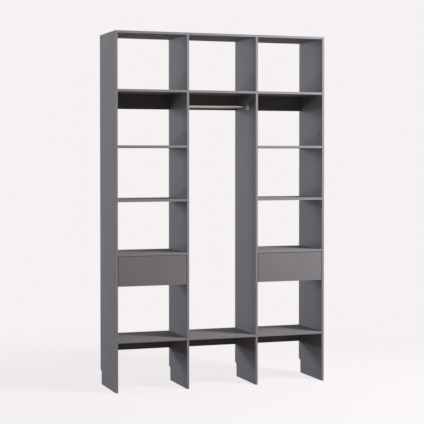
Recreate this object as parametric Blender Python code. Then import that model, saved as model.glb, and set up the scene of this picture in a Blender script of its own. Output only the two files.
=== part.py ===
"""Open three-bay wardrobe unit: four uprights, fixed and adjustable shelves, two inset drawers and a hanging rail.

Metres, +Z up, +Y towards the wall. The origin lies on the floor under the middle of the unit.
"""
import math

import bmesh
import bpy
from mathutils import Vector

# Whole unit
UNIT_HEIGHT = 2.400
UNIT_WIDTH = 1.504
UNIT_DEPTH = 0.405
BAY_NAMES = ("left", "centre", "right")
DRAWER_BAYS = ("left", "right")
RAIL_BAY = "centre"

# Boards: thickness, rounding of their edge bands, and the gap left where two pieces meet
BOARD = 0.016
BAND_RADIUS = 0.0008
BAND_STEPS = 2
SEAT_GAP = 0.0003

# Clear heights: under the bottom shelves, from there to the drawer shelf, and under the top boards
PLINTH_CLEAR = 0.330
LOWER_CLEAR = 0.561
TOP_CLEAR = 0.369
SHELF_SPACING = 0.360
STRETCHER_HEIGHT = 0.102

# Skirting-board notch at the bottom rear of each upright
NOTCH_HEIGHT = 0.098
NOTCH_DEPTH = 0.030
NOTCH_RADIUS = 0.024
NOTCH_STEPS = 6

# Drawer fronts and boxes
DRAWER_FRONT_HEIGHT = 0.197
DRAWER_FRONT_GAP = 0.003
BOX_BOARD = 0.012
BOX_RAISE = 0.018
BOX_TOP_CLEAR = 0.026
BOX_REAR_CLEAR = 0.0387
BOTTOM_PANEL = 0.003
GROOVE_DEPTH = 0.006
GROOVE_RAISE = 0.010

# Roller runners, bent from sheet steel
RUNNER_SPACE = 0.0125
SHEET = 0.0012
BEND_RADIUS = 0.0008
BEND_STEPS = 3
CABINET_SETBACK = 0.002
TRACK_DROP = 0.0009
CEILING_PLAY = 0.0012
RIDE_CLEAR = 0.0008
FLANGE_CLEAR = 0.0006
FOOT_SHARE = 0.85
TAB_HEIGHT = 0.005
TAB_INSET = 0.0012
STOP_SETBACK = 0.0655
END_PLAY = 0.0005
NOSE_CLEAR = 0.004
SCREW_HOLE_RADIUS = 0.0022
CABINET_HOLE_SHARES = (0.12, 0.50, 0.88)
DRAWER_HOLE_SHARES = (0.06, 0.42, 0.84)
HOLE_STEPS = 10

# Nylon rollers and the riveted axles they turn on
ROLLER_RADIUS = 0.010
ROLLER_SIDE_PLAY = 0.00125
ROLLER_INSET = 0.002
ROLLER_CHAMFER = 0.0006
DISH_DEPTH = 0.0015
DISH_INNER_SHARE = 0.45
DISH_OUTER_SHARE = 0.78
ROLLER_STEPS = 16
AXLE_RADIUS = 0.0024
AXLE_PLAY = 0.0004
RIVET_RADIUS = 0.0042
RIVET_HEIGHT = 0.0004

# Hanging rail and its brackets
RAIL_RADIUS = 0.0125
RAIL_WALL = 0.001
RAIL_SETBACK = 0.150
RAIL_DROP = 0.085
RAIL_STEPS = 24
PLATE = 0.0025
PLATE_MARGIN = 0.002
PLATE_CORNER = 0.006
PLATE_ABOVE = 0.0165
SCREW_LUG = 0.0055
CUP_PLAY = 0.0005
CUP_WALL = 0.0022
CUP_DEPTH = 0.013
CUP_RISE = 0.009
CUP_BITE = 0.001
BRACKET_HOLE_RADIUS = 0.0019
CORNER_STEPS = 4

# A cut runs past the face it starts from by this much
OVERRUN = 0.002
SHARP_ANGLE = math.radians(35)

# Planes and levels that follow from the sizes above
BAY_CLEAR = (UNIT_WIDTH - (len(BAY_NAMES) + 1) * BOARD) / len(BAY_NAMES)
FRONT = -UNIT_DEPTH / 2
REAR = UNIT_DEPTH / 2
BOTTOM_SHELF_TOP = PLINTH_CLEAR + BOARD
DRAWER_SHELF_TOP = BOTTOM_SHELF_TOP + LOWER_CLEAR + BOARD
TOP_BOARD_UNDERSIDE = UNIT_HEIGHT - BOARD
UPPER_SHELF_TOP = TOP_BOARD_UNDERSIDE - TOP_CLEAR

# Drawer places: the front, then the box that hangs behind it
DRAWER_FRONT_TOP = DRAWER_SHELF_TOP - BOARD - DRAWER_FRONT_GAP
DRAWER_FRONT_BOTTOM = DRAWER_FRONT_TOP - DRAWER_FRONT_HEIGHT
DRAWER_FRONT_REAR = FRONT + BOARD
BOX_FRONT = DRAWER_FRONT_REAR + SEAT_GAP
BOX_REAR = REAR - BOX_REAR_CLEAR
BOX_LENGTH = BOX_REAR - BOX_FRONT
BOX_BOTTOM = DRAWER_FRONT_BOTTOM + BOX_RAISE
BOX_TOP = DRAWER_SHELF_TOP - BOARD - BOX_TOP_CLEAR
GROOVE_BOTTOM = BOX_BOTTOM + GROOVE_RAISE
GROOVE_TOP = GROOVE_BOTTOM + BOTTOM_PANEL + 2 * SEAT_GAP

# Runner section, measured from the upright's face and from the underside of the drawer side
CABINET_WEB = SEAT_GAP + SHEET / 2
DRAWER_WEB = RUNNER_SPACE - SEAT_GAP - SHEET / 2
CABINET_TIP = DRAWER_WEB - SHEET / 2 - FLANGE_CLEAR
RIDE_TIP = CABINET_WEB + SHEET / 2 + RIDE_CLEAR
FOOT_TIP = RUNNER_SPACE + FOOT_SHARE * BOX_BOARD
TRACK_TOP = -TRACK_DROP
CEILING_UNDERSIDE = TRACK_TOP + 2 * ROLLER_RADIUS + CEILING_PLAY
RIDE_UNDERSIDE = CEILING_UNDERSIDE + SHEET + RIDE_CLEAR
FOOT_MIDDLE = -SEAT_GAP - SHEET / 2
WEB_MIDDLE = (TRACK_TOP + CEILING_UNDERSIDE) / 2
ROLLER_MIDDLE = RUNNER_SPACE / 2
ROLLER_WIDTH = RUNNER_SPACE - 2 * (SEAT_GAP + SHEET + ROLLER_SIDE_PLAY)

# Runner places along the drawer, measured back from the front of the box
FRONT_ROLLER_ALONG = CABINET_SETBACK + ROLLER_INSET + ROLLER_RADIUS
REAR_ROLLER_ALONG = BOX_LENGTH - ROLLER_INSET - ROLLER_RADIUS
FRONT_ROLLER_UP = RIDE_UNDERSIDE - SEAT_GAP - ROLLER_RADIUS
REAR_ROLLER_UP = TRACK_TOP + SEAT_GAP + ROLLER_RADIUS
STOP_ALONG = CABINET_SETBACK + STOP_SETBACK

# Rail place
UPPER_SHELF_UNDERSIDE = UPPER_SHELF_TOP - BOARD
RAIL_Y = FRONT + RAIL_SETBACK
RAIL_Z = UPPER_SHELF_UNDERSIDE - RAIL_DROP
RAIL_END = SEAT_GAP + PLATE + SEAT_GAP


def clear_scene():
    """Removes every object that the file holds."""
    for item in list(bpy.data.objects):
        bpy.data.objects.remove(item, do_unlink=True)


def finish(name, colour, roughness, metallic):
    """Returns a Principled material."""
    material = bpy.data.materials.new(name)
    material.use_nodes = True
    shader = material.node_tree.nodes["Principled BSDF"]
    shader.inputs["Base Color"].default_value = (*colour, 1)
    shader.inputs["Roughness"].default_value = roughness
    shader.inputs["Metallic"].default_value = metallic
    material.diffuse_color = (*colour, 1)
    return material


def make_finishes():
    """Returns the unit's finishes by name."""
    return {
        "board": finish("grey_melamine", (0.155, 0.153, 0.162), 0.55, 0),
        "box": finish("grey_box_board", (0.190, 0.187, 0.190), 0.60, 0),
        "panel": finish("grey_hardboard", (0.240, 0.236, 0.232), 0.65, 0),
        "runner": finish("coated_steel", (0.420, 0.420, 0.425), 0.40, 0.2),
        "roller": finish("white_nylon", (0.720, 0.715, 0.690), 0.45, 0),
        "chrome": finish("chrome", (0.780, 0.780, 0.790), 0.12, 1),
    }


def arc(centre, radius, start, end, steps):
    """Returns points along an arc, ends included; the angles are in degrees."""
    points = []
    for step in range(steps + 1):
        angle = math.radians(start + (end - start) * step / steps)
        points.append((centre[0] + radius * math.cos(angle), centre[1] + radius * math.sin(angle)))
    return points


def rectangle(across, up):
    """Returns the outline of a rectangle between two pairs of limits."""
    return [(across[0], up[0]), (across[1], up[0]), (across[1], up[1]), (across[0], up[1])]


def sheet_outline(path):
    """Returns the outline of bent sheet whose middle follows a path with square corners."""
    points = [Vector(point) for point in path]
    left = []
    right = []
    for index, point in enumerate(points):
        if index in (0, len(points) - 1):
            other = points[1] if index == 0 else points[-2]
            along = (other - point) if index == 0 else (point - other)
            along.normalize()
            half = Vector((-along.y, along.x)) * SHEET / 2
            left.append(point + half)
            right.append(point - half)
            continue
        incoming = (point - points[index - 1]).normalized()
        outgoing = (points[index + 1] - point).normalized()
        turns_left = incoming.cross(outgoing) > 0
        centre = point + (BEND_RADIUS + SHEET / 2) * (outgoing - incoming)
        for step in range(BEND_STEPS + 1):
            angle = math.radians(90) * step / BEND_STEPS
            spoke = incoming * math.sin(angle) - outgoing * math.cos(angle)
            inner = centre + spoke * BEND_RADIUS
            outer = centre + spoke * (BEND_RADIUS + SHEET)
            left.append(inner if turns_left else outer)
            right.append(outer if turns_left else inner)
    return [tuple(point) for point in left + right[::-1]]


def on_axis(axis, first, second, along):
    """Returns a 3-D point from two coordinates across an axis and one along it."""
    if axis == "X":
        return (along, first, second)
    if axis == "Y":
        return (first, along, second)
    return (first, second, along)


def prism(outline, axis, start, end):
    """Returns a closed solid: an outline drawn across an axis, from start to end along it."""
    solid = bmesh.new()
    corners = [solid.verts.new(on_axis(axis, first, second, start)) for first, second in outline]
    cap = solid.faces.new(corners)
    extruded = bmesh.ops.extrude_face_region(solid, geom=[cap])
    moved = [item for item in extruded["geom"] if isinstance(item, bmesh.types.BMVert)]
    bmesh.ops.translate(solid, verts=moved, vec=Vector(on_axis(axis, 0, 0, end - start)))
    bmesh.ops.recalc_face_normals(solid, faces=solid.faces)
    return solid


def cuboid(across, along, up):
    """Returns a closed box between three pairs of limits."""
    return prism(rectangle(across, along), "Z", up[0], up[1])


def disc(axis, centre, radius, start, end, steps):
    """Returns a closed cylinder along an axis."""
    return prism(arc(centre, radius, 0, 360, steps)[:-1], axis, start, end)


def turned(outline, steps):
    """Returns a closed solid turned about X from an outline of (along X, radius) points."""
    solid = bmesh.new()
    rings = []
    for step in range(steps):
        angle = math.tau * step / steps
        ring = [solid.verts.new((x, radius * math.cos(angle), radius * math.sin(angle))) for x, radius in outline]
        rings.append(ring)
    count = len(outline)
    for step, ring in enumerate(rings):
        following = rings[(step + 1) % steps]
        for index in range(count):
            after = (index + 1) % count
            solid.faces.new((ring[index], ring[after], following[after], following[index]))
    bmesh.ops.recalc_face_normals(solid, faces=solid.faces)
    return solid


def round_edges(solid, wanted):
    """Rounds the chosen edges to the radius of an edge band."""
    edges = [edge for edge in solid.edges if wanted(edge)]
    bmesh.ops.bevel(solid, geom=edges, offset=BAND_RADIUS, segments=BAND_STEPS, profile=0.5, affect="EDGES")


def to_mesh(name, solid, smooth=False):
    """Turns a bmesh into a mesh, shaded smooth where it is round."""
    mesh = bpy.data.meshes.new(name)
    solid.to_mesh(mesh)
    solid.free()
    if smooth:
        mesh.shade_smooth()
        mesh.set_sharp_from_angle(angle=SHARP_ANGLE)
    return mesh


def merged(solids):
    """Returns one bmesh that holds several solids which don't touch each other."""
    whole = bmesh.new()
    for solid in solids:
        mesh = to_mesh("part", solid)
        whole.from_mesh(mesh)
        bpy.data.meshes.remove(mesh)
    return whole


def combined(name, body, additions=(), cuts=(), smooth=False):
    """Returns the mesh of a body with solids fused to it, and then with solids cut from it."""
    target = bpy.data.objects.new(name, to_mesh(name, body))
    bpy.context.scene.collection.objects.link(target)
    helpers = []
    for operation, solids in (("UNION", additions), ("DIFFERENCE", cuts)):
        if not solids:
            continue
        helper = bpy.data.objects.new(name + "_tool", to_mesh(name + "_tool", merged(solids)))
        helper.hide_render = True
        helper.display_type = "WIRE"
        bpy.context.scene.collection.objects.link(helper)
        helpers.append(helper)
        modifier = target.modifiers.new(operation.lower(), "BOOLEAN")
        modifier.operation = operation
        modifier.solver = "EXACT"
        modifier.object = helper
    bpy.context.view_layer.update()
    evaluated = target.evaluated_get(bpy.context.evaluated_depsgraph_get())
    mesh = bpy.data.meshes.new_from_object(evaluated)
    for item in [target] + helpers:
        bpy.data.objects.remove(item, do_unlink=True)
    mesh.name = name
    if smooth:
        mesh.shade_smooth()
        mesh.set_sharp_from_angle(angle=SHARP_ANGLE)
    return mesh


def place(name, mesh, material, location, parent=None):
    """Adds a named piece at a place in the unit; under a parent it keeps that place."""
    piece = bpy.data.objects.new(name, mesh)
    if not mesh.materials:
        mesh.materials.append(material)
    if parent:
        piece.parent = parent
        location = Vector(location) - parent.location
    piece.location = location
    bpy.context.scene.collection.objects.link(piece)
    return piece


def upright_left(index):
    """Returns the X of an upright's left face."""
    return -UNIT_WIDTH / 2 + index * (BAY_CLEAR + BOARD)


def bay_walls(bay):
    """Returns the X of the two upright faces that bound a named bay."""
    left = upright_left(BAY_NAMES.index(bay)) + BOARD
    return left, left + BAY_CLEAR


def along_x(edge):
    """Tells whether an edge runs along X."""
    first, second = (corner.co for corner in edge.verts)
    return abs(first.x - second.x) > abs((first - second).yz.length)


def make_uprights(finishes):
    """Makes the four full-height uprights, each with its skirting-board notch."""
    radius = min(NOTCH_RADIUS, NOTCH_DEPTH, NOTCH_HEIGHT)
    notch_front = REAR - NOTCH_DEPTH
    outline = [(FRONT, 0), (notch_front, 0)]
    outline += arc((notch_front + radius, NOTCH_HEIGHT - radius), radius, 180, 90, NOTCH_STEPS)
    outline += [(REAR, NOTCH_HEIGHT), (REAR, UNIT_HEIGHT), (FRONT, UNIT_HEIGHT)]

    def banded(edge):
        first, second = (corner.co for corner in edge.verts)
        return abs(first.z - second.z) > UNIT_HEIGHT / 2

    for index, name in enumerate(("left_side_panel", "left_divider", "right_divider", "right_side_panel")):
        solid = prism(outline, "X", -BOARD / 2, BOARD / 2)
        round_edges(solid, banded)
        middle = upright_left(index) + BOARD / 2
        place(name, to_mesh(name, solid), finishes["board"], (middle, 0, 0))


def make_board(name, bay, along, up, finishes):
    """Makes a board that fits between two uprights, with its front and rear edges banded."""
    walls = bay_walls(bay)
    half_width = (walls[1] - walls[0]) / 2 - SEAT_GAP
    half_depth = (along[1] - along[0]) / 2
    half_height = (up[1] - up[0]) / 2
    solid = prism(rectangle((-half_depth, half_depth), (-half_height, half_height)), "X", -half_width, half_width)
    round_edges(solid, along_x)
    middle = (sum(walls) / 2, sum(along) / 2, sum(up) / 2)
    place(name, to_mesh(name, solid), finishes["board"], middle)


def make_shelf(name, bay, top, finishes):
    """Makes a full-depth shelf from the height of its top face."""
    make_board(name, bay, (FRONT, REAR), (top - BOARD, top), finishes)


def make_stretcher(name, bay, shelf_top, finishes):
    """Makes the stretcher that stands on edge across the back, under a shelf."""
    top = shelf_top - BOARD - SEAT_GAP
    bottom = shelf_top - BOARD - STRETCHER_HEIGHT
    make_board(name, bay, (REAR - BOARD, REAR), (bottom, top), finishes)


def make_boards(finishes):
    """Makes every board that lies between the uprights."""
    for bay in BAY_NAMES:
        make_shelf(f"{bay}_top_board", bay, UNIT_HEIGHT, finishes)
        make_shelf(f"{bay}_upper_shelf", bay, UPPER_SHELF_TOP, finishes)
        make_stretcher(f"{bay}_upper_stretcher", bay, UPPER_SHELF_TOP, finishes)
        make_shelf(f"{bay}_bottom_shelf", bay, BOTTOM_SHELF_TOP, finishes)
        make_stretcher(f"{bay}_lower_stretcher", bay, BOTTOM_SHELF_TOP, finishes)
    for bay in DRAWER_BAYS:
        make_shelf(f"{bay}_drawer_shelf", bay, DRAWER_SHELF_TOP, finishes)
        make_shelf(f"{bay}_adjustable_shelf_lower", bay, DRAWER_SHELF_TOP + SHELF_SPACING, finishes)
        make_shelf(f"{bay}_adjustable_shelf_upper", bay, DRAWER_SHELF_TOP + 2 * SHELF_SPACING, finishes)


def make_drawer_front(name, walls, carriage, finishes):
    """Makes a drawer front with the groove that takes the front edge of the bottom panel."""
    half_width = (walls[1] - walls[0]) / 2 - DRAWER_FRONT_GAP
    half_height = DRAWER_FRONT_HEIGHT / 2
    solid = cuboid((-half_width, half_width), (0, BOARD), (-half_height, half_height))

    def round_the_face(edge):
        return all(corner.co.y < BOARD / 2 for corner in edge.verts)

    round_edges(solid, round_the_face)
    middle = DRAWER_FRONT_BOTTOM + half_height
    groove_half = (walls[1] - walls[0]) / 2 - RUNNER_SPACE - BOX_BOARD + GROOVE_DEPTH
    groove = cuboid((-groove_half, groove_half), (BOARD - GROOVE_DEPTH, BOARD + OVERRUN),
                    (GROOVE_BOTTOM - middle, GROOVE_TOP - middle))
    mesh = combined(name, solid, cuts=[groove])
    place(name, mesh, finishes["board"], (sum(walls) / 2, FRONT, middle), carriage)


def make_drawer_side(name, wall, hand, carriage, finishes):
    """Makes a drawer side, grooved along its inner face; hand is 1 on the left and -1 on the right."""
    groove_floor = BOX_BOARD - GROOVE_DEPTH
    groove = (GROOVE_BOTTOM - BOX_BOTTOM, GROOVE_TOP - BOX_BOTTOM)
    height = BOX_TOP - BOX_BOTTOM
    section = [(0, 0), (BOX_BOARD, 0), (BOX_BOARD, groove[0]), (groove_floor, groove[0]),
               (groove_floor, groove[1]), (BOX_BOARD, groove[1]), (BOX_BOARD, height), (0, height)]
    outline = [(hand * across, up) for across, up in section]
    mesh = to_mesh(name, prism(outline, "Y", 0, BOX_LENGTH))
    place(name, mesh, finishes["box"], (wall + hand * RUNNER_SPACE, BOX_FRONT, BOX_BOTTOM), carriage)


def make_drawer_box(side, walls, carriage, finishes):
    """Makes the back and the bottom panel that the drawer sides hold."""
    middle = sum(walls) / 2
    inner_half = (walls[1] - walls[0]) / 2 - RUNNER_SPACE - BOX_BOARD
    back_half = inner_half - SEAT_GAP
    back = cuboid((-back_half, back_half), (0, BOX_BOARD), (0, BOX_TOP - GROOVE_TOP))
    place(f"{side}_drawer_back", to_mesh("drawer_back", back), finishes["box"],
          (middle, BOX_REAR - BOX_BOARD, GROOVE_TOP), carriage)
    panel_half = inner_half + GROOVE_DEPTH - SEAT_GAP
    panel_front = DRAWER_FRONT_REAR - GROOVE_DEPTH + SEAT_GAP
    panel = cuboid((-panel_half, panel_half), (0, BOX_REAR - panel_front), (0, BOTTOM_PANEL))
    place(f"{side}_drawer_bottom", to_mesh("drawer_bottom", panel), finishes["panel"],
          (middle, panel_front, GROOVE_BOTTOM + SEAT_GAP), carriage)


def axle(hand, web, roller_face, centre):
    """Returns the axle and rivet head that hold a roller, from the web past the roller's far face."""
    outward = 1 if roller_face > web else -1
    seat = roller_face + outward * SEAT_GAP
    top = seat + outward * RIVET_HEIGHT
    shaft = disc("X", centre, AXLE_RADIUS, hand * web, hand * (seat + outward * RIVET_HEIGHT / 2), ROLLER_STEPS)
    head = disc("X", centre, RIVET_RADIUS, hand * seat, hand * top, ROLLER_STEPS)
    return to_solid(combined("axle", shaft, additions=[head]))


def to_solid(mesh):
    """Turns a mesh back into a bmesh and drops the mesh."""
    solid = bmesh.new()
    solid.from_mesh(mesh)
    bpy.data.meshes.remove(mesh)
    return solid


def tab_reach():
    """Returns how far ahead of its axle a roller on the track meets a stop tab."""
    below_axle = ROLLER_RADIUS + SEAT_GAP - min(TAB_HEIGHT, ROLLER_RADIUS)
    return math.sqrt(ROLLER_RADIUS ** 2 - below_axle ** 2)


def cabinet_member_mesh(hand):
    """Returns a channel that screws to the upright, with its front roller's axle and its two stop tabs."""
    track = TRACK_TOP - SHEET / 2
    ceiling = CEILING_UNDERSIDE + SHEET / 2
    path = [(hand * CABINET_TIP, track), (hand * CABINET_WEB, track),
            (hand * CABINET_WEB, ceiling), (hand * CABINET_TIP, ceiling)]
    front = CABINET_SETBACK
    rear = CABINET_SETBACK + BOX_LENGTH
    channel = prism(sheet_outline(path), "Y", front, rear)

    tab_across = sorted((hand * (CABINET_WEB + SHEET / 2 + TAB_INSET), hand * (CABINET_TIP - TAB_INSET)))
    rear_tab = REAR_ROLLER_ALONG + tab_reach() + END_PLAY
    tabs = [cuboid(tab_across, (start, start + SHEET), (track, TRACK_TOP + TAB_HEIGHT))
            for start in (STOP_ALONG, rear_tab)]
    far_face = ROLLER_MIDDLE + ROLLER_WIDTH / 2
    pivot = axle(hand, CABINET_WEB, far_face, (FRONT_ROLLER_ALONG, FRONT_ROLLER_UP))

    nose_end = FRONT_ROLLER_ALONG + ROLLER_RADIUS + NOSE_CLEAR
    nose_across = sorted((hand * (CABINET_WEB + SHEET / 2 + BEND_RADIUS), hand * (CABINET_TIP + OVERRUN)))
    cuts = [cuboid(nose_across, (front - OVERRUN, nose_end), (CEILING_UNDERSIDE - SHEET, ceiling + SHEET))]
    for share in CABINET_HOLE_SHARES:
        centre = (front + share * BOX_LENGTH, WEB_MIDDLE)
        cuts.append(disc("X", centre, SCREW_HOLE_RADIUS, hand * -OVERRUN, hand * (CABINET_WEB + OVERRUN), HOLE_STEPS))
    return combined("cabinet_member", channel, additions=tabs + [pivot], cuts=cuts)


def drawer_member_mesh(hand):
    """Returns the profile under a drawer side: foot, web and riding flange, with its rear roller's axle."""
    ride = RIDE_UNDERSIDE + SHEET / 2
    path = [(hand * FOOT_TIP, FOOT_MIDDLE), (hand * DRAWER_WEB, FOOT_MIDDLE),
            (hand * DRAWER_WEB, ride), (hand * RIDE_TIP, ride)]
    profile = prism(sheet_outline(path), "Y", 0, BOX_LENGTH)
    far_face = ROLLER_MIDDLE - ROLLER_WIDTH / 2
    pivot = axle(hand, DRAWER_WEB, far_face, (REAR_ROLLER_ALONG, REAR_ROLLER_UP))
    cuts = []
    for share in DRAWER_HOLE_SHARES:
        centre = (share * BOX_LENGTH, WEB_MIDDLE)
        cuts.append(disc("X", centre, SCREW_HOLE_RADIUS, hand * (DRAWER_WEB - OVERRUN),
                         hand * (DRAWER_WEB + OVERRUN), HOLE_STEPS))
    return combined("drawer_member", profile, additions=[pivot], cuts=cuts)


def roller_mesh():
    """Returns a nylon roller with a bore, a dished face on each side and a chamfered rim."""
    half = ROLLER_WIDTH / 2
    bore = AXLE_RADIUS + AXLE_PLAY
    dish_inner = DISH_INNER_SHARE * ROLLER_RADIUS
    dish_outer = DISH_OUTER_SHARE * ROLLER_RADIUS
    rim = ROLLER_RADIUS - ROLLER_CHAMFER
    face = [(half, bore), (half, dish_inner), (half - DISH_DEPTH, dish_inner), (half - DISH_DEPTH, dish_outer),
            (half, dish_outer), (half, rim), (half - ROLLER_CHAMFER, ROLLER_RADIUS)]
    mirrored = [(-across, radius) for across, radius in reversed(face)]
    return to_mesh("roller", turned(face + mirrored, ROLLER_STEPS), smooth=True)


def make_runner(side, end, wall, hand, carriage, meshes, finishes):
    """Places one runner: two members and two rollers."""
    name = f"{side}_drawer_{end}"
    place(f"{name}_cabinet_member", meshes["cabinet", hand], finishes["runner"], (wall, BOX_FRONT, BOX_BOTTOM))
    place(f"{name}_drawer_member", meshes["drawer", hand], finishes["runner"], (wall, BOX_FRONT, BOX_BOTTOM), carriage)
    middle = wall + hand * ROLLER_MIDDLE
    front = (middle, BOX_FRONT + FRONT_ROLLER_ALONG, BOX_BOTTOM + FRONT_ROLLER_UP)
    rear = (middle, BOX_FRONT + REAR_ROLLER_ALONG, BOX_BOTTOM + REAR_ROLLER_UP)
    place(f"{name}_front_roller", meshes["roller"], finishes["roller"], front)
    place(f"{name}_rear_roller", meshes["roller"], finishes["roller"], rear, carriage)


def make_drawers(finishes):
    """Makes both drawers with their runners; each drawer's pieces hang on an empty that slides with them."""
    meshes = {"roller": roller_mesh()}
    for hand in (1, -1):
        meshes["cabinet", hand] = cabinet_member_mesh(hand)
        meshes["drawer", hand] = drawer_member_mesh(hand)
    for side in DRAWER_BAYS:
        walls = bay_walls(side)
        carriage = bpy.data.objects.new(f"{side}_drawer_carriage", None)
        carriage.location = (sum(walls) / 2, BOX_FRONT, BOX_BOTTOM)
        bpy.context.scene.collection.objects.link(carriage)
        make_drawer_front(f"{side}_drawer_front", walls, carriage, finishes)
        make_drawer_box(side, walls, carriage, finishes)
        for end, wall, hand in (("left", walls[0], 1), ("right", walls[1], -1)):
            make_drawer_side(f"{side}_drawer_{end}_side", wall, hand, carriage, finishes)
            make_runner(side, end, wall, hand, carriage, meshes, finishes)


def bracket_mesh(hand):
    """Returns a rail bracket: a screwed plate and a cup, open at the top, that the rail drops into."""
    cup_inner = RAIL_RADIUS + CUP_PLAY
    cup_outer = cup_inner + CUP_WALL
    half_width = cup_outer + PLATE_MARGIN
    corner = min(PLATE_CORNER, half_width)
    corner_up = PLATE_ABOVE - corner
    corner_across = half_width - corner
    outline = arc((0, -SCREW_LUG), half_width, 180, 360, RAIL_STEPS // 2)
    outline += arc((corner_across, corner_up), corner, 0, 90, CORNER_STEPS)
    outline += arc((-corner_across, corner_up), corner, 90, 180, CORNER_STEPS)
    plate = prism(outline, "X", hand * SEAT_GAP, hand * (SEAT_GAP + PLATE))

    collar = [(-cup_outer, CUP_RISE)] + arc((0, 0), cup_outer, 180, 360, RAIL_STEPS // 2)
    collar += [(cup_outer, CUP_RISE), (cup_inner, CUP_RISE)]
    collar += arc((0, 0), cup_inner, 360, 180, RAIL_STEPS // 2) + [(-cup_inner, CUP_RISE)]
    cup_start = SEAT_GAP + PLATE - CUP_BITE
    cup = prism(collar, "X", hand * cup_start, hand * (SEAT_GAP + PLATE + CUP_DEPTH))

    lug_middle = -(cup_outer + half_width + SCREW_LUG) / 2
    cuts = [disc("X", (0, up), BRACKET_HOLE_RADIUS, hand * -OVERRUN, hand * (SEAT_GAP + PLATE + OVERRUN), HOLE_STEPS)
            for up in (0, lug_middle)]
    return combined("rail_bracket", plate, additions=[cup], cuts=cuts, smooth=True)


def make_rail(finishes):
    """Makes the hanging rail and its two brackets."""
    walls = bay_walls(RAIL_BAY)
    for end, wall, hand in (("left", walls[0], 1), ("right", walls[1], -1)):
        place(f"{end}_rail_bracket", bracket_mesh(hand), finishes["chrome"], (wall, RAIL_Y, RAIL_Z))
    half = (walls[1] - walls[0]) / 2 - RAIL_END
    inner = RAIL_RADIUS - RAIL_WALL
    tube = turned([(-half, inner), (-half, RAIL_RADIUS), (half, RAIL_RADIUS), (half, inner)], RAIL_STEPS)
    place("hanging_rail", to_mesh("hanging_rail", tube, smooth=True), finishes["chrome"],
          (sum(walls) / 2, RAIL_Y, RAIL_Z))


def main():
    """Builds the whole unit."""
    clear_scene()
    finishes = make_finishes()
    make_uprights(finishes)
    make_boards(finishes)
    make_drawers(finishes)
    make_rail(finishes)


main()
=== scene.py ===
"""Looks of the open wardrobe unit: finishes, fittings, studio and camera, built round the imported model."""
import math

import bmesh
import bpy
from mathutils import Matrix, Vector


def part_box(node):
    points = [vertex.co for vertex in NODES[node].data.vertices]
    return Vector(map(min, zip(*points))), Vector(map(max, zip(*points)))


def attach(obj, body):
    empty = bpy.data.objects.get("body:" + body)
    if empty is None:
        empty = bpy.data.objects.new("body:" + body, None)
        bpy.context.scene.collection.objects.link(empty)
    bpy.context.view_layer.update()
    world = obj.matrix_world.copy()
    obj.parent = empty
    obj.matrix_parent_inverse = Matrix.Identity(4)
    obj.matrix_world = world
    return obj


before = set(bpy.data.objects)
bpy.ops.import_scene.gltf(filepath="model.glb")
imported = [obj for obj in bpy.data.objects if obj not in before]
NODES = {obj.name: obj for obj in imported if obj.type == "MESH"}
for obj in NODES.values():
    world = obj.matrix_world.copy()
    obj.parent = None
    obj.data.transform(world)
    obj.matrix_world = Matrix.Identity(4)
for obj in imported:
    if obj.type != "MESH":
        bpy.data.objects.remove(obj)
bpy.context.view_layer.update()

MM = 0.001
X, Y, Z = range(3)

# Camera, fitted to the photograph, in metres and degrees; the shifts are shares of the frame
CAMERA_PLACE = (-2.9962, -8.4768, 1.5658)
CAMERA_TURN = 19.362
CAMERA_LEVEL = 90.0
CAMERA_TILT = 1.463
FOCAL_LENGTH = 110.128
SENSOR = 36.0
SHIFT_ACROSS = 0.0036
SHIFT_UP = -0.0517
CLIP_END = 100.0

# Studio: background colour, fill light, and a floor whose shadow fades out between two distances
PALE = (0.9216, 0.8880, 0.8963)
FILL_COLOUR = (1.0, 0.80, 0.65)
FILL_STRENGTH = 0.25
FLOOR_RADIUS = 9.0
FLOOR_SEGMENTS = 96
FLOOR_DROP = 0.2 * MM
FLOOR_FADE = (1.2, 3.2)
FLOOR_LIT_SHARE = 0.12
FLOOR_WHITE = (0.86, 0.84, 0.845)
FLOOR_BOUNCE = (0.28, 0.26, 0.255)

# Lamps: place, target, size, power and colour
LAMPS = {
    "key_softbox": ((2.58, -2.5, 3.42), (0.0, 0.0, 1.2), 1.2, 313.0, (0.936, 0.960, 1.0)),
    "rear_left_softbox": ((-8.0, 8.0, 2.9), (0.0, 0.0, 24.0), 6.0, 2990.0, (0.80, 0.92, 1.0)),
    "low_left_softbox": ((-5.0, 5.0, 0.35), (0.0, 0.0, -9.7), 0.6, 267.0, (0.70, 0.74, 1.0)),
}

# In the finishes below, a noise is (features in a metre, detail, roughness)
# A range is (from low, from high, to low, to high), and one of two numbers leads to 0 and 1
# A grain scales a noise on each axis, and is small on the axis along which it is drawn out

# Where most of a noise lies, and its mean
MIDDLE = (0.3, 0.7)
NOISE_MEAN = 0.5

# Melamine of the boards
BOARD_COLOUR = (0.165, 0.156, 0.160)
BOARD_SPECULAR = 0.15
BOARD_ROUGHNESS = (0.35, 0.65, 0.76, 0.80)
BOARD_RELIEF = 0.025 * MM
CLOUDS = (5.0, 3.0, 0.55)
CLOUD_TONES = (*MIDDLE, 0.975, 1.025)
SPECKS = (1500.0, 2.0, 0.6)
SPECK_TONES = (0.25, 0.75, 0.95, 1.05)
SMUDGES = (3.2, 4.0, 0.6)
PEARL = (620.0, 2.5, 0.5)

# Edge bands of the boards, and the seams beside them
BAND = 1.0 * MM
BAND_COLOUR = (0.199, 0.190, 0.197)
BAND_SMOOTHER = 0.04
RUBBED_COLOUR = (0.234, 0.226, 0.232)
RUBBED_PLACES = (38.0, 4.0, 0.7)
RUBBED_SHARES = (0.58, 0.74, 0.0, 0.5)
SEAM = 0.12 * MM
SEAM_COLOUR = (0.045, 0.042, 0.042)
SEAM_SHARE = 0.55

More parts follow.
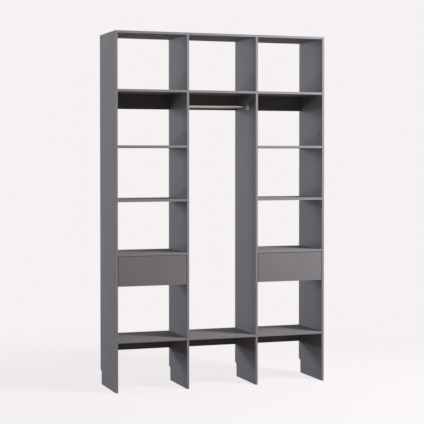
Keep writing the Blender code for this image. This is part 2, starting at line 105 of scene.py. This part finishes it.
# Raw chipboard at the feet of the uprights, up to just over their skirting-board notches
RAW_BELOW = 99 * MM
RAW_ROUGHNESS = 0.85
MOST_ALONG_X = 0.5
FLAKE_SCALE = 420.0
FLAKE_DARK = (0.30, 0.205, 0.120)
FLAKE_PALE = (0.50, 0.375, 0.240)
PORES = (700.0, 3.0, 0.7)
PORE_RANGE = (0.56, 0.66)
PORE_COLOUR = (0.085, 0.055, 0.032)
CRUMBS = (900.0, 4.0, 0.75)
CRUMB_HEIGHT = 6.0

# Foil of the drawer boxes
FOIL_COLOUR = (0.205, 0.198, 0.200)
FOIL_ROUGHNESS = (*MIDDLE, 0.50, 0.58)
FOIL_HANDLING = (4.0, 3.0, 0.6)
FOIL_EDGE = (0.5 * MM, 0.7 * MM, 1.08, 1.0)
LINEN = (900.0, 1.0, 0.4)
LINEN_GRAINS = ((1.0, 1.0, 0.06), (0.06, 0.06, 1.0))
LINEN_TONES = (0.75, 1.25, 0.93, 1.07)
LINEN_DEPTH = 0.03 * MM

# Hardboard of the drawer bottoms
UNDERSIDE = (-0.6, -0.3, 1.0, 0.0)
LACQUER_COLOUR = (0.260, 0.252, 0.248)
LACQUER_TONES = (*MIDDLE, 0.96, 1.04)
HARDBOARD_ROUGHNESS = (0.0, 1.0, 0.46, 0.80)
FIBRES = (1100.0, 4.0, 0.75)
FIBRE_GRAIN = (1.0, 0.25, 1.0)
FIBRE_RANGE = (0.35, 0.65)
FIBRE_DARK = (0.115, 0.066, 0.036)
FIBRE_PALE = (0.225, 0.140, 0.080)
FIBRE_DEPTH = 0.04 * MM

# Powder-coated steel of the runners, with the tracks that the rollers polish
STEEL_COLOUR = (0.430, 0.430, 0.435)
STEEL_ROUGHNESS = (0.0, 0.6, 0.36, 0.24)
TRACK_COLOUR = (0.340, 0.340, 0.345)
TRACK_FACES = (0.9, 0.98)
TRACK_STREAKS = (900.0, 2.0, 0.6)
TRACK_GRAIN = (1.0, 0.02, 1.0)
TRACK_SHARES = (0.48, 0.62, 0.0, 0.6)
PEEL = (520.0, 2.0, 0.45)
PEEL_TONES = (*MIDDLE, 0.97, 1.03)
PEEL_DEPTH = 0.05 * MM

# Nylon of the rollers
NYLON_COLOUR = (0.700, 0.695, 0.660)
NYLON_ROUGHNESS = (*MIDDLE, 0.36, 0.50)
NYLON_TEXTURE = (1300.0, 3.0, 0.6)
NYLON_DEPTH = 0.02 * MM
NYLON_GLOW = 0.08
NYLON_GLOW_REACH = 1.5 * MM
GRIME = (260.0, 4.0, 0.7)
GRIME_SHARES = (0.45, 0.75, 0.0, 0.5)
GRIME_COLOUR = (0.470, 0.455, 0.420)

# Metals: colour, roughness, depth of their drawing lines and, on the rail, the grain of these
RAIL_CHROME = ((0.47, 0.425, 0.385), 0.18, 0.004 * MM, (0.02, 1.0, 1.0))
BRACKET_ZINC = ((0.72, 0.71, 0.70), 0.32, 0.006 * MM)
FASTENER_ZINC = ((0.56, 0.56, 0.55), 0.24, 0.004 * MM)
SCREW_NICKEL = ((0.84, 0.83, 0.82), 0.30, 0.004 * MM)
DRAWING_LINES = (1600.0, 3.0, 0.6)
DRAWING_SHARE = 0.4
POLISH = (60.0, 4.0, 0.6)
POLISH_TONES = (*MIDDLE, 0.95, 1.04)
DULLEST = 1.5

# Plastic of the cover caps
CAP_COLOUR = (0.150, 0.144, 0.147)
CAP_ROUGHNESS = (*MIDDLE, 0.38, 0.48)
CAP_TEXTURE = (1800.0, 2.0, 0.5)
CAP_TONES = (*MIDDLE, 0.96, 1.04)
CAP_DEPTH = 0.02 * MM

# Shelf supports, cover caps and screws
SUPPORT_INSET = 37 * MM
SUPPORT_COLLAR = 3.6 * MM
SUPPORT_TONGUE = 1.1 * MM
SUPPORT_TONGUE_HALF = 4.0 * MM
SUPPORT_TONGUE_REACH = 6.0 * MM
CAP_FROM_END = 34 * MM
CAP_FROM_EDGE = 44 * MM
SEAT_GAP = 0.3 * MM
RUNNER_SHEET = 1.2 * MM
BRACKET_PLATE = 2.5 * MM
CABINET_HOLE_SHARES = (0.12, 0.50, 0.88)
DRAWER_HOLE_SHARES = (0.06, 0.42, 0.84)
BRACKET_SCREW_DROP = 18.95 * MM

# Recess of the screws: how far its lobes reach, as a share, their number, and the rings that they shape
SCREW_LOBES = 0.32
LOBE_COUNT = 4
LOBED_RINGS = 2

# Steps of the round shapes, and the sharpest edge that is shaded smooth, in degrees
PIN_STEPS = 20
TONGUE_STEPS = 10
CAP_STEPS = 32
SCREW_STEPS = 24
SMOOTH_BELOW = 34.0


def outlined(*points):
    """Returns (radius, height) points given in millimetres in metres."""
    return [(radius * MM, height * MM) for radius, height in points]


SUPPORT_PIN = outlined((0, 0), (3.6, 0), (3.6, 0.8), (3.3, 1.0), (2.4, 1.0), (2.4, 7.6), (1.9, 8.2),
                       (0, 8.4))
CAP_DOME = outlined((0, 0), (8.5, 0), (8.5, 0.4), (8.1, 0.75), (6.5, 0.98), (3.5, 1.10), (0, 1.15))
ROUND_SCREW = outlined((0, 0), (3.3, 0), (3.2, 0.35), (2.4, 0.78), (1.7, 0.92), (1.1, 0.95), (0.9, 0.60),
                       (0, 0.40))
PAN_SCREW = outlined((0, 0), (4.0, 0), (3.95, 0.9), (3.7, 1.6), (3.2, 2.3), (2.4, 2.8), (1.3, 3.05),
                     (1.1, 2.3), (0, 2.0))
FLAT_SCREW = outlined((0, 0), (3.3, 0), (3.2, 0.2), (2.4, 0.45), (1.7, 0.52), (1.1, 0.55), (0.9, 0.30),
                      (0, 0.15))


# Nodes


def rgba(colour):
    """Returns a colour with full opacity."""
    return (*colour, 1.0)


def new_node(tree, kind, **settings):
    """Adds a node to a tree, with its settings."""
    made = tree.nodes.new(kind)
    for key, value in settings.items():
        setattr(made, key, value)
    return made


def feed(tree, socket, value):
    """Links a socket to another, or sets its value."""
    if isinstance(value, bpy.types.NodeSocket):
        tree.links.new(value, socket)
    else:
        socket.default_value = value


def ranged(tree, value, low, high, start=0.0, end=1.0):
    """Returns a value mapped smoothly from one range to another."""
    made = new_node(tree, "ShaderNodeMapRange", interpolation_type="SMOOTHSTEP")
    feed(tree, made.inputs["Value"], value)
    for key, given in (("From Min", low), ("From Max", high), ("To Min", start), ("To Max", end)):
        made.inputs[key].default_value = given
    return made.outputs["Result"]


class Shade:
    """A node material in the making, with short calls for the nodes that the finishes share."""

    # Sockets of the Mix node that hold its two colours and its result
    MIX_COLOURS = (6, 7)
    MIX_RESULT = 2

    def __init__(self, name):
        self.material = bpy.data.materials.new(name)
        self.material.use_nodes = True
        self.tree = self.material.node_tree
        self.shader = self.tree.nodes["Principled BSDF"]
        self.place = self.node("ShaderNodeTexCoord").outputs["Object"]

    def node(self, kind, **settings):
        """Adds a node to the material."""
        return new_node(self.tree, kind, **settings)

    def feed(self, socket, value):
        """Links a socket of the material to another, or sets its value."""
        feed(self.tree, socket, value)

    def sum(self, operation, first, second=0.0):
        """Returns the result of a sum on one or two values."""
        made = self.node("ShaderNodeMath", operation=operation)
        self.feed(made.inputs[0], first)
        self.feed(made.inputs[1], second)
        return made.outputs[0]

    def stretch(self, value, *limits):
        """Returns a value mapped smoothly by a range."""
        return ranged(self.tree, value, *limits)

    def noise(self, noise, grain=None):
        """Returns a noise, drawn out where it has a grain."""
        made = self.node("ShaderNodeTexNoise")
        self.feed(made.inputs["Vector"], self.squeezed(grain) if grain else self.place)
        for key, value in zip(("Scale", "Detail", "Roughness"), noise):
            made.inputs[key].default_value = value
        return made.outputs["Fac"]

    def squeezed(self, grain):
        """Returns the place with each axis scaled by a grain."""
        made = self.node("ShaderNodeVectorMath", operation="MULTIPLY")
        self.feed(made.inputs[0], self.place)
        self.feed(made.inputs[1], grain)
        return made.outputs[0]

    def mix(self, share, first, second):
        """Returns two colours mixed by a share."""
        made = self.node("ShaderNodeMix", data_type="RGBA")
        self.feed(made.inputs[0], share)
        for place, value in zip(self.MIX_COLOURS, (first, second)):
            self.feed(made.inputs[place], rgba(value) if isinstance(value, tuple) else value)
        return made.outputs[self.MIX_RESULT]

    def tinted(self, colour, factor):
        """Returns a colour made lighter or darker by a varying factor."""
        made = self.node("ShaderNodeVectorMath", operation="SCALE")
        self.feed(made.inputs[0], colour)
        self.feed(made.inputs["Scale"], factor)
        return made.outputs[0]

    def axes(self, vector):
        """Returns the three parts of a vector."""
        made = self.node("ShaderNodeSeparateXYZ")
        self.feed(made.inputs[0], vector)
        return made.outputs

    def facing(self):
        """Returns the three parts of the direction in which a face looks."""
        return self.axes(self.node("ShaderNodeNewGeometry").outputs["True Normal"])

    def bump(self, height, depth):
        """Returns normals raised by a height, with a depth in metres at full height."""
        made = self.node("ShaderNodeBump")
        made.inputs["Strength"].default_value = 1.0
        made.inputs["Distance"].default_value = depth
        self.feed(made.inputs["Height"], height)
        return made.outputs[0]

    def done(self, colour, roughness, normal, **constants):
        """Feeds the shader; what doesn't vary is set on its own sockets."""
        for key, value in (("Base Color", colour), ("Roughness", roughness), ("Normal", normal)):
            self.feed(self.shader.inputs[key], value)
        for key, value in constants.items():
            self.shader.inputs[key.replace("_", " ")].default_value = value
        return self.material


# Finishes


def box_of(names):
    """Returns the lowest and highest corner of several nodes."""
    boxes = [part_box(name) for name in names]
    low = Vector(min(box[0][axis] for box in boxes) for axis in (X, Y, Z))
    high = Vector(max(box[1][axis] for box in boxes) for axis in (X, Y, Z))
    return low, high


def inset(shade, box, axes):
    """Returns how far inside a box's faces a point lies, across the given axes."""
    parts = shade.axes(shade.place)
    nearest = None
    for axis in axes:
        middle = (box[0][axis] + box[1][axis]) / 2
        half = (box[1][axis] - box[0][axis]) / 2
        away = shade.sum("ABSOLUTE", shade.sum("SUBTRACT", parts[axis], middle))
        inside = shade.sum("SUBTRACT", half, away)
        nearest = inside if nearest is None else shade.sum("MINIMUM", nearest, inside)
    return nearest


def seam_share(shade, inside):
    """Returns how much of the dark seam beside its edge band a point shows."""
    away = shade.sum("ABSOLUTE", shade.sum("SUBTRACT", inside, BAND))
    return shade.stretch(away, SEAM / 2, SEAM, 1.0, 0.0)


def sawn_share(shade, inside):
    """Returns 1 on the sawn faces at an upright's foot, between its edge bands, and 0 elsewhere."""
    sawn = shade.sum("LESS_THAN", shade.sum("ABSOLUTE", shade.facing()[X]), MOST_ALONG_X)
    low = shade.sum("LESS_THAN", shade.axes(shade.place)[Z], RAW_BELOW)
    between = shade.sum("GREATER_THAN", inside, BAND)
    return shade.sum("MULTIPLY", shade.sum("MULTIPLY", sawn, low), between)


def chipboard(shade):
    """Returns the colour of sawn chipboard: pale and dark flakes, with darker pores."""
    cells = shade.node("ShaderNodeTexVoronoi")
    shade.feed(cells.inputs["Vector"], shade.place)
    cells.inputs["Scale"].default_value = FLAKE_SCALE
    flake = shade.axes(cells.outputs["Color"])[X]
    ground = shade.mix(flake, FLAKE_DARK, FLAKE_PALE)
    pores = shade.stretch(shade.noise(PORES), *PORE_RANGE)
    return shade.mix(pores, ground, PORE_COLOUR)


def melamine(shade, on_band, on_seam):
    """Returns the colour of a board: melamine, edge bands that are rubbed in places, and seams."""
    clouds = shade.stretch(shade.noise(CLOUDS), *CLOUD_TONES)
    specks = shade.stretch(shade.noise(SPECKS), *SPECK_TONES)
    face = shade.tinted(BOARD_COLOUR, shade.sum("MULTIPLY", clouds, specks))
    rubbed = shade.sum("MULTIPLY", on_band, shade.stretch(shade.noise(RUBBED_PLACES), *RUBBED_SHARES))
    band = shade.mix(rubbed, BAND_COLOUR, RUBBED_COLOUR)
    colour = shade.mix(on_band, face, band)
    return shade.mix(shade.sum("MULTIPLY", on_seam, SEAM_SHARE), colour, SEAM_COLOUR)


def board_finish(name, box, band_axes, raw_feet=False):
    """Makes pearl-textured melamine with edge bands across the given axes and, if asked, raw sawn feet."""
    shade = Shade(name)
    inside = inset(shade, box, band_axes)
    on_band = shade.stretch(inside, BAND - SEAM / 2, BAND + SEAM / 2, 1.0, 0.0)
    on_seam = seam_share(shade, inside)
    colour = melamine(shade, on_band, on_seam)

    smudges = shade.stretch(shade.noise(SMUDGES), *BOARD_ROUGHNESS)
    roughness = shade.sum("SUBTRACT", smudges, shade.sum("MULTIPLY", on_band, BAND_SMOOTHER))
    pearl = shade.stretch(shade.noise(PEARL), *MIDDLE)
    on_face = shade.sum("SUBTRACT", 1.0, on_band)
    height = shade.sum("SUBTRACT", shade.sum("MULTIPLY", pearl, on_face), on_seam)
    if raw_feet:
        raw = sawn_share(shade, inside)
        colour = shade.mix(raw, colour, chipboard(shade))
        roughness = shade.sum("MAXIMUM", roughness, shade.sum("MULTIPLY", raw, RAW_ROUGHNESS))
        crumbs = shade.sum("MULTIPLY", raw, shade.sum("MULTIPLY", shade.noise(CRUMBS), CRUMB_HEIGHT))
        height = shade.sum("ADD", height, crumbs)
    normal = shade.bump(height, BOARD_RELIEF)
    return shade.done(colour, roughness, normal, Specular_IOR_Level=BOARD_SPECULAR)


def foil_finish(box):
    """Makes the drawer box's thinner board: a lighter grey foil with a fine linen emboss."""
    shade = Shade("drawer_box_foil")
    across, along = (shade.noise(LINEN, grain) for grain in LINEN_GRAINS)
    weave = shade.sum("ADD", across, along)
    tones = shade.stretch(weave, *LINEN_TONES)
    edge = shade.stretch(inset(shade, box, (Z,)), *FOIL_EDGE)
    colour = shade.tinted(FOIL_COLOUR, shade.sum("MULTIPLY", tones, edge))
    roughness = shade.stretch(shade.noise(FOIL_HANDLING), *FOIL_ROUGHNESS)
    return shade.done(colour, roughness, shade.bump(weave, LINEN_DEPTH))


def hardboard_finish():
    """Makes the drawer bottom: lacquered grey above, and bare brown fibre below."""
    shade = Shade("drawer_bottom_hardboard")
    below = shade.stretch(shade.facing()[Z], *UNDERSIDE)
    fibre = shade.noise(FIBRES, FIBRE_GRAIN)
    lacquer = shade.tinted(LACQUER_COLOUR, shade.stretch(fibre, *LACQUER_TONES))
    bare = shade.mix(shade.stretch(fibre, *FIBRE_RANGE), FIBRE_DARK, FIBRE_PALE)
    colour = shade.mix(below, lacquer, bare)
    roughness = shade.stretch(below, *HARDBOARD_ROUGHNESS)
    return shade.done(colour, roughness, shade.bump(fibre, FIBRE_DEPTH))


def steel_finish():
    """Makes the runners' powder-coated sheet, with its orange peel and its polished tracks."""
    shade = Shade("powder_coated_steel")
    peel = shade.noise(PEEL)
    level = shade.stretch(shade.sum("ABSOLUTE", shade.facing()[Z]), *TRACK_FACES)
    streaks = shade.stretch(shade.noise(TRACK_STREAKS, TRACK_GRAIN), *TRACK_SHARES)
    worn = shade.sum("MULTIPLY", level, streaks)
    coat = shade.mix(worn, STEEL_COLOUR, TRACK_COLOUR)
    colour = shade.tinted(coat, shade.stretch(peel, *PEEL_TONES))
    roughness = shade.stretch(worn, *STEEL_ROUGHNESS)
    return shade.done(colour, roughness, shade.bump(peel, PEEL_DEPTH))


def nylon_finish():
    """Makes the rollers' moulded nylon, a little grubby in places."""
    shade = Shade("moulded_nylon")
    texture = shade.noise(NYLON_TEXTURE)
    grime = shade.stretch(shade.noise(GRIME), *GRIME_SHARES)
    colour = shade.mix(grime, NYLON_COLOUR, GRIME_COLOUR)
    roughness = shade.stretch(texture, *NYLON_ROUGHNESS)
    return shade.done(colour, roughness, shade.bump(texture, NYLON_DEPTH), Subsurface_Weight=NYLON_GLOW,
                      Subsurface_Scale=NYLON_GLOW_REACH)


def metal_finish(name, colour, roughness, line_depth, grain=None):
    """Makes a plain metal with faint drawing lines and an uneven polish."""
    shade = Shade(name)
    lines = shade.noise(DRAWING_LINES, grain)
    patches = shade.noise(POLISH)
    tone = shade.tinted(colour, shade.stretch(patches, *POLISH_TONES))
    polish = shade.stretch(patches, *MIDDLE, roughness, roughness * DULLEST)
    drawing = shade.sum("MULTIPLY", shade.sum("SUBTRACT", lines, NOISE_MEAN), roughness * DRAWING_SHARE)
    return shade.done(tone, shade.sum("ADD", polish, drawing), shade.bump(lines, line_depth), Metallic=1.0)


def cap_finish():
    """Makes the grey moulded plastic of the cover caps."""
    shade = Shade("cover_cap_plastic")
    texture = shade.noise(CAP_TEXTURE)
    colour = shade.tinted(CAP_COLOUR, shade.stretch(texture, *CAP_TONES))
    roughness = shade.stretch(texture, *CAP_ROUGHNESS)
    return shade.done(colour, roughness, shade.bump(texture, CAP_DEPTH))


# CAD nodes


def names_with(*endings):
    """Returns the CAD nodes whose names end in one of the given ways."""
    return sorted(name for name in NODES if name.endswith(endings))


def dress(names, material):
    """Gives CAD nodes their finish."""
    for name in names:
        node = NODES[name]
        if not node.material_slots:
            node.data.materials.append(material)
        for slot in node.material_slots:
            slot.material = material


def dress_boards():
    """Gives the uprights, shelves and stretchers their melamine."""
    uprights = names_with("_side_panel", "_divider")
    whole = box_of(uprights)
    dress(uprights, board_finish("upright_melamine", whole, (Y,), raw_feet=True))
    fixed = names_with("_top_board", "_upper_shelf", "_bottom_shelf", "_drawer_shelf")
    adjustable = names_with("_shelf_lower", "_shelf_upper")
    dress(fixed + adjustable, board_finish("shelf_melamine", whole, (Y,)))
    for kind in ("upper_stretcher", "lower_stretcher"):
        stretchers = names_with("_" + kind)
        dress(stretchers, board_finish(kind + "_melamine", box_of(stretchers), (Z,)))


def dress_drawers():
    """Gives the drawers and their runners their finishes."""
    for front in names_with("_drawer_front"):
        dress([front], board_finish(front + "_melamine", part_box(front), (X, Z)))
    sides = names_with("_left_side", "_right_side", "_drawer_back")
    dress(sides, foil_finish(box_of(sides)))
    dress(names_with("_drawer_bottom"), hardboard_finish())
    dress(names_with("_cabinet_member", "_drawer_member"), steel_finish())
    dress(names_with("_roller"), nylon_finish())


def dress_rail():
    """Gives the rail its chrome and its brackets their zinc."""
    dress(["hanging_rail"], metal_finish("rail_chrome", *RAIL_CHROME))
    dress(names_with("_rail_bracket"), metal_finish("bracket_zinc", *BRACKET_ZINC))


def smoothing():
    """Makes the modifier group that shades smooth across every edge but the sharp ones."""
    group = bpy.data.node_groups.new("smooth_round_faces", "GeometryNodeTree")
    for flow in ("INPUT", "OUTPUT"):
        group.interface.new_socket("Geometry", in_out=flow, socket_type="NodeSocketGeometry")
    source = new_node(group, "NodeGroupInput")
    result = new_node(group, "NodeGroupOutput")
    angle = new_node(group, "GeometryNodeInputMeshEdgeAngle")
    soft = new_node(group, "ShaderNodeMath", operation="LESS_THAN")
    soft.inputs[1].default_value = math.radians(SMOOTH_BELOW)
    edges = new_node(group, "GeometryNodeSetShadeSmooth", domain="EDGE")
    faces = new_node(group, "GeometryNodeSetShadeSmooth", domain="FACE")
    group.links.new(angle.outputs["Unsigned Angle"], soft.inputs[0])
    group.links.new(source.outputs[0], edges.inputs["Geometry"])
    group.links.new(soft.outputs[0], edges.inputs["Shade Smooth"])
    group.links.new(edges.outputs[0], faces.inputs["Geometry"])
    group.links.new(faces.outputs[0], result.inputs[0])
    return group


def smooth_round_nodes():
    """Shades the round faces of the rollers, runner members, brackets and rail smooth."""
    group = smoothing()
    for name in names_with("_roller", "_member", "_rail_bracket", "hanging_rail"):
        modifier = NODES[name].modifiers.new("smooth_round_faces", "NODES")
        modifier.node_group = group


# New pieces


def add_piece(name, solids, material, body):
    """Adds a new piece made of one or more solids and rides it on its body."""
    mesh = bpy.data.meshes.new(name)
    whole = bmesh.new()
    for solid in solids:
        solid.to_mesh(mesh)
        solid.free()
        whole.from_mesh(mesh)
    bmesh.ops.recalc_face_normals(whole, faces=whole.faces)
    whole.to_mesh(mesh)
    whole.free()
    mesh.materials.append(material)
    piece = bpy.data.objects.new(name, mesh)
    bpy.context.scene.collection.objects.link(piece)
    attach(piece, body)


def ring_of(solid, radius, height, steps, lobes):
    """Adds a level ring of points to a solid, with lobes that reach in and out by a share of its radius."""
    ring = []
    for step in range(steps):
        angle = math.tau * step / steps
        reach = radius * (1 + lobes * math.cos(LOBE_COUNT * angle))
        ring.append(solid.verts.new((reach * math.cos(angle), reach * math.sin(angle), height)))
    return ring


def turned(outline, steps, lobes=0.0):
    """Returns a solid turned about Z from (radius, height) points; only its last rings have lobes."""
    solid = bmesh.new()
    rings = []
    for radius, height in outline:
        if radius == 0:
            rings.append([solid.verts.new((0, 0, height))])
        else:
            lobed = len(rings) >= len(outline) - 1 - LOBED_RINGS
            rings.append(ring_of(solid, radius, height, steps, lobes if lobed else 0.0))
    for lower, upper in zip(rings, rings[1:]):
        for step in range(steps):
            after = (step + 1) % steps
            corners = [ring[place % len(ring)] for ring, place in
                       ((lower, step), (lower, after), (upper, after), (upper, step))]
            solid.faces.new(list(dict.fromkeys(corners)))
    return solid


def placed(solid, place, out, up=(0.0, 0.0, 1.0)):
    """Puts a solid at a place, with its Z pointing out and its Y up."""
    out, up = Vector(out), Vector(up)
    turn = Matrix((up.cross(out), up, out)).transposed().to_4x4()
    solid.transform(Matrix.Translation(place) @ turn)
    return solid


def tongue():
    """Returns the flat tongue of a shelf support, which has a round end."""
    half = SUPPORT_TONGUE_HALF
    angles = [math.pi * step / TONGUE_STEPS for step in range(TONGUE_STEPS + 1)]
    round_end = [(half * math.cos(angle), SUPPORT_TONGUE_REACH + half * math.sin(angle)) for angle in angles]
    outline = [(half, 0.0), *round_end, (-half, 0.0)]
    solid = bmesh.new()
    under, over = ([solid.verts.new((across, level, reach)) for across, reach in outline]
                   for level in (SUPPORT_COLLAR - SUPPORT_TONGUE, SUPPORT_COLLAR))
    solid.faces.new(under)
    solid.faces.new(over)
    for place in range(len(outline)):
        solid.faces.new((under[place - 1], under[place], over[place], over[place - 1]))
    return solid


def support():
    """Returns a shelf support: a pin with a collar, under its tongue."""
    return [turned(SUPPORT_PIN, PIN_STEPS), tongue()]


def bay_walls(name):
    """Returns the places of the two upright faces that a board lies between."""
    low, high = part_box(name)
    middle = (low[X] + high[X]) / 2
    boxes = [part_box(upright) for upright in names_with("_side_panel", "_divider")]
    left = max(box[1][X] for box in boxes if box[1][X] < middle)
    right = min(box[0][X] for box in boxes if box[0][X] > middle)
    return left, right


def add_supports(finish):
    """Adds four supports under each adjustable shelf."""
    for name in names_with("_shelf_lower", "_shelf_upper"):
        low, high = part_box(name)
        solids = []
        for wall, out in zip(bay_walls(name), (1.0, -1.0)):
            for along in (low[Y] + SUPPORT_INSET, high[Y] - SUPPORT_INSET):
                place = (wall, along, low[Z] - SUPPORT_COLLAR)
                solids += [placed(solid, place, (out, 0.0, 0.0)) for solid in support()]
        add_piece(name + "_supports", solids, finish, "root")


def add_caps(finish):
    """Adds the domed caps that cover the fittings under each fixed board."""
    down, back = (0.0, 0.0, -1.0), (0.0, 1.0, 0.0)
    for name in names_with("_top_board", "_upper_shelf", "_drawer_shelf", "_bottom_shelf"):
        low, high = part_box(name)
        solids = [placed(turned(CAP_DOME, CAP_STEPS), (across, along, low[Z]), down, back)
                  for across in (low[X] + CAP_FROM_END, high[X] - CAP_FROM_END)
                  for along in (low[Y] + CAP_FROM_EDGE, high[Y] - CAP_FROM_EDGE)]
        add_piece(name + "_caps", solids, finish, "root")


def screw_heads(outline, places, hand):
    """Returns recessed screw heads at several places, facing right or, for a negative hand, left."""
    return [placed(turned(outline, SCREW_STEPS, SCREW_LOBES), place, (hand, 0.0, 0.0)) for place in places]


def web_places(across, member, level, shares):
    """Returns places on the web of a runner's member, at shares of its length."""
    low, high = member
    return [(across, low[Y] + share * (high[Y] - low[Y]), level) for share in shares]


def add_runner_screws(finish):
    """Adds the screws in the webs of the runners: three to the upright and three to the drawer's side."""
    for side in ("left", "right"):
        for end, corner, hand in (("left", 0, 1.0), ("right", 1, -1.0)):
            runner = f"{side}_drawer_{end}"
            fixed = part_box(runner + "_cabinet_member")
            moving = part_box(runner + "_drawer_member")
            web = fixed[corner][X] + hand * RUNNER_SHEET
            drawer_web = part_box(runner + "_side")[corner][X] - hand * (SEAT_GAP + RUNNER_SHEET)
            level = (fixed[0][Z] + fixed[1][Z]) / 2
            heads = screw_heads(ROUND_SCREW, web_places(web, fixed, level, CABINET_HOLE_SHARES), hand)
            add_piece(runner + "_cabinet_screws", heads, finish, "root")
            heads = screw_heads(FLAT_SCREW, web_places(drawer_web, moving, level, DRAWER_HOLE_SHARES), -hand)
            add_piece(runner + "_drawer_screws", heads, finish, side + "_drawer")


def add_bracket_screws(finish):
    """Adds the screw that shows below the rail in each of its brackets."""
    low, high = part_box("hanging_rail")
    level = (low[Z] + high[Z]) / 2 - BRACKET_SCREW_DROP
    for name, corner, hand in (("left_rail_bracket", 0, 1.0), ("right_rail_bracket", 1, -1.0)):
        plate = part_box(name)[corner][X] + hand * BRACKET_PLATE
        heads = screw_heads(PAN_SCREW, [(plate, (low[Y] + high[Y]) / 2, level)], hand)
        add_piece(name + "_screw", heads, finish, "root")


def add_fittings():
    """Adds the shelf supports, the cover caps and the screws."""
    zinc = metal_finish("fastener_zinc", *FASTENER_ZINC)
    add_supports(zinc)
    add_caps(cap_finish())
    add_runner_screws(zinc)
    add_bracket_screws(metal_finish("screw_nickel", *SCREW_NICKEL))


# Studio and camera


def mixed_shader(tree, share, first, second):
    """Returns two shaders mixed by a share."""
    made = new_node(tree, "ShaderNodeMixShader")
    tree.links.new(share, made.inputs[0])
    tree.links.new(first.outputs[0], made.inputs[1])
    tree.links.new(second.outputs[0], made.inputs[2])
    return made


def coloured_shader(tree, kind, colour):
    """Returns a shader of one colour."""
    made = new_node(tree, kind)
    made.inputs["Color"].default_value = rgba(colour)
    return made


def background_seen(tree):
    """Returns 1 for rays from the camera, off metal and gloss, and through glass."""
    path = new_node(tree, "ShaderNodeLightPath")
    seen = path.outputs["Is Camera Ray"]
    for kind in ("Is Glossy Ray", "Is Transmission Ray"):
        either = new_node(tree, "ShaderNodeMath", operation="MAXIMUM")
        tree.links.new(seen, either.inputs[0])
        tree.links.new(path.outputs[kind], either.inputs[1])
        seen = either.outputs[0]
    return seen


def make_world():
    """Makes the studio round the unit: the pale background where it is seen, and soft fill light."""
    world = bpy.data.worlds.new("studio")
    bpy.context.scene.world = world
    world.use_nodes = True
    tree = world.node_tree
    pale = tree.nodes["Background"]
    pale.inputs["Color"].default_value = rgba(PALE)
    fill = coloured_shader(tree, "ShaderNodeBackground", FILL_COLOUR)
    fill.inputs["Strength"].default_value = FILL_STRENGTH
    whole = mixed_shader(tree, background_seen(tree), fill, pale)
    tree.links.new(whole.outputs[0], tree.nodes["World Output"].inputs["Surface"])


def floor_material():
    """Makes the floor's material: pale with the unit's shadow where it is seen, and duller to other rays."""
    material = bpy.data.materials.new("studio_floor")
    material.use_nodes = True
    tree = material.node_tree
    tree.nodes.remove(tree.nodes["Principled BSDF"])
    away = new_node(tree, "ShaderNodeVectorMath", operation="LENGTH")
    tree.links.new(new_node(tree, "ShaderNodeTexCoord").outputs["Object"], away.inputs[0])
    glow = coloured_shader(tree, "ShaderNodeEmission", PALE)
    lit = coloured_shader(tree, "ShaderNodeBsdfDiffuse", FLOOR_WHITE)
    bounce = coloured_shader(tree, "ShaderNodeBsdfDiffuse", FLOOR_BOUNCE)
    lit_share = ranged(tree, away.outputs["Value"], *FLOOR_FADE, FLOOR_LIT_SHARE, 0.0)
    shown = mixed_shader(tree, lit_share, glow, lit)
    whole = mixed_shader(tree, background_seen(tree), bounce, shown)
    tree.links.new(whole.outputs[0], tree.nodes["Material Output"].inputs["Surface"])
    return material


def make_floor():
    """Makes the pale floor, which keeps the unit's soft shadow and fades into the background."""
    solid = bmesh.new()
    bmesh.ops.create_circle(solid, cap_ends=True, segments=FLOOR_SEGMENTS, radius=FLOOR_RADIUS)
    mesh = bpy.data.meshes.new("studio_floor")
    solid.to_mesh(mesh)
    solid.free()
    mesh.materials.append(floor_material())
    floor = bpy.data.objects.new("studio_floor", mesh)
    floor.location.z = -FLOOR_DROP
    bpy.context.scene.collection.objects.link(floor)


def make_lamp(name, place, target, size, power, colour):
    """Adds a square softbox aimed at a point."""
    data = bpy.data.lights.new(name, "AREA")
    data.shape = "SQUARE"
    data.size = size
    data.energy = power
    data.color = colour
    lamp = bpy.data.objects.new(name, data)
    lamp.location = place
    lamp.rotation_euler = (Vector(target) - Vector(place)).to_track_quat("-Z", "Y").to_euler()
    lamp.visible_camera = False
    lamp.visible_glossy = False
    bpy.context.scene.collection.objects.link(lamp)


def make_camera():
    """Makes the camera, at the photograph's viewing angle."""
    data = bpy.data.cameras.new("camera")
    data.sensor_width = SENSOR
    data.lens = FOCAL_LENGTH
    data.shift_x = SHIFT_ACROSS
    data.shift_y = SHIFT_UP
    data.clip_end = CLIP_END
    camera = bpy.data.objects.new("camera", data)
    camera.location = CAMERA_PLACE
    camera.rotation_euler = (math.radians(CAMERA_LEVEL - CAMERA_TILT), 0.0, math.radians(-CAMERA_TURN))
    bpy.context.scene.collection.objects.link(camera)
    bpy.context.scene.camera = camera


def make_studio():
    """Makes the world, the floor, the lamps and the camera."""
    bpy.context.scene.view_settings.view_transform = "Standard"
    make_world()
    make_floor()
    for name, values in LAMPS.items():
        make_lamp(name, *values)
    make_camera()


def main():
    """Dresses the frame, adds the fittings and builds the studio."""
    dress_boards()
    dress_drawers()
    dress_rail()
    smooth_round_nodes()
    add_fittings()
    make_studio()


main()
